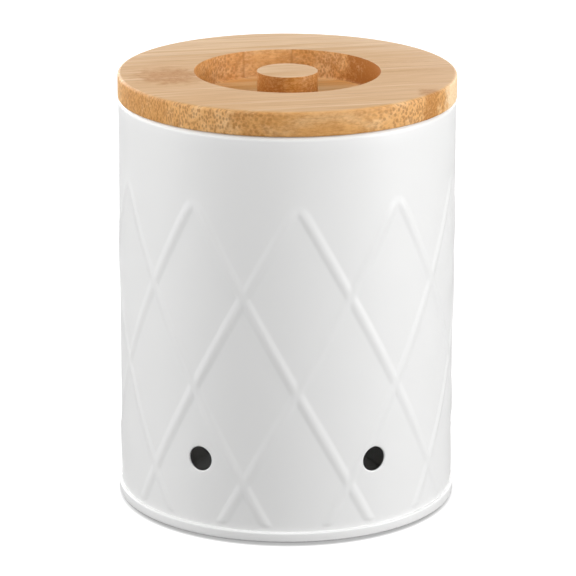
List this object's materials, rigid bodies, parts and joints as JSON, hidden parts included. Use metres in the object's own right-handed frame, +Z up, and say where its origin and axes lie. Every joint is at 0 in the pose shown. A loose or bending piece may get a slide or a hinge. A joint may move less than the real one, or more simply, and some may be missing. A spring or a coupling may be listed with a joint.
{
  "type": "vegetable storage canister",
  "caption": "Round steel canister with an embossed diamond lattice, low air holes and a folded foot rim, closed by a lift-off bamboo plug lid with a finger recess and a flush knob.",
  "frame": {"origin": "centre of the resting face, level with the underside of the foot rim", "axes": "+Z up the canister's axis, -Y towards the side that the picture shows"},
  "size_m": [0.1724, 0.1724, 0.2194],
  "materials": {
    "body_coating": "satin white powder coating on sheet steel",
    "base_coating": "satin white powder coating on sheet steel",
    "lid_bamboo": "oiled laminated bamboo, grain across the lid",
    "knob_bamboo": "oiled bamboo",
    "screw_steel": "zinc plated steel",
    "seal_silicone": "translucent white silicone"
  },
  "bodies": {
    "canister": {"body_shell": "body_coating", "base_panel": "base_coating"},
    "lid": {"lid_board": "lid_bamboo", "knob": "knob_bamboo", "knob_screw": "screw_steel", "seal_ring": "seal_silicone"}
  },
  "joints": [
    {"name": "lid_lift", "type": "slide", "parent": "canister", "child": "lid", "axis": [0, 0, 1], "range_m": [0, 0.06]}
  ]
}
